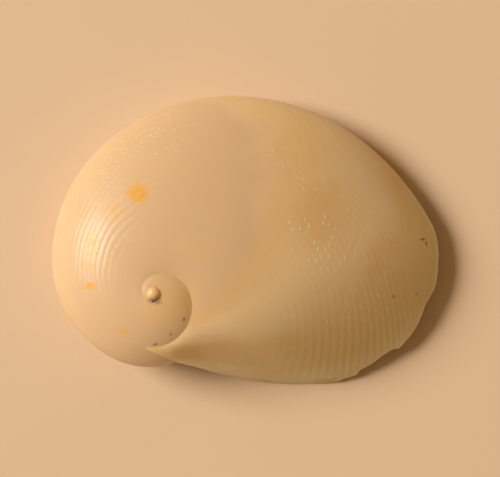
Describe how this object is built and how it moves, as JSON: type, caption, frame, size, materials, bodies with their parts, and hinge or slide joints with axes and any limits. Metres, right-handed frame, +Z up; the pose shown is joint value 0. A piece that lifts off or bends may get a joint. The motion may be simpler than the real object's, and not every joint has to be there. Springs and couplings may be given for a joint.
{
  "type": "ear-shaped moon snail shell",
  "caption": "Small flat ear-shaped moon snail shell lying on its wide opening: a thin, low spiral dome with a tiny knob at the apex and a chipped outer lip.",
  "frame": {"origin": "middle of the bounding box in plan, on the plane the shell rests on", "axes": "+X along the length from the spire towards the outer lip, +Y across it away from the notch beside the spire, +Z up out of the domed back"},
  "size_m": [0.0128, 0.0096, 0.0038],
  "materials": {
    "shell": "thin translucent warm ivory shell with a soft natural gloss"
  },
  "bodies": {
    "root": {"shell": "shell"}
  },
  "joints": []
}
